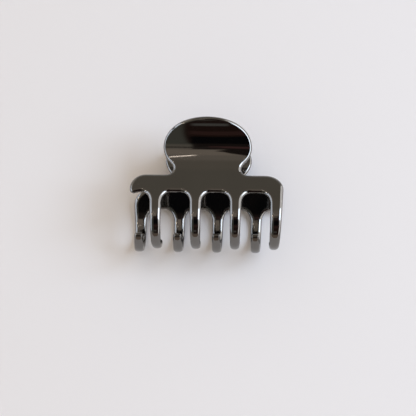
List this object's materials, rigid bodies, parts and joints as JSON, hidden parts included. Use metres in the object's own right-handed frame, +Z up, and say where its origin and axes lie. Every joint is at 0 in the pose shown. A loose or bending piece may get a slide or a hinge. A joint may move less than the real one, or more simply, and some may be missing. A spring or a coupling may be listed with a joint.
{
  "type": "claw hair clip",
  "caption": "Sprung metal claw hair clip: two bent sheet jaws with curled prongs and oval thumb plates, turning on one pin.",
  "frame": {"origin": "on the surface the closed clip lies on, under the centre of its overall box", "axes": "+X along the jaws' long bars, +Y towards the thumb plates, +Z up out of the front jaw, away from the surface"},
  "size_m": [0.0408, 0.035, 0.0216],
  "materials": {
    "jaw_plating": "dark gunmetal mirror plating",
    "hinge_steel": "plain stamped steel",
    "spring_steel": "drawn spring wire"
  },
  "bodies": {
    "back_half": {"back_jaw": "jaw_plating", "back_hinge_bracket": "hinge_steel", "hinge_pin": "hinge_steel", "torsion_spring": "spring_steel"},
    "front_half": {"front_jaw": "jaw_plating", "front_hinge_bracket": "hinge_steel"}
  },
  "joints": [
    {"name": "jaw_hinge", "type": "hinge", "parent": "back_half", "child": "front_half", "pos_m": [0, 0.00314, 0.01024], "axis": [-1, 0, 0], "range_deg": [0, 62], "stiffness_Nm_per_rad": 0.02, "springref_deg": -85.94, "deforming": ["torsion_spring"]}
  ]
}
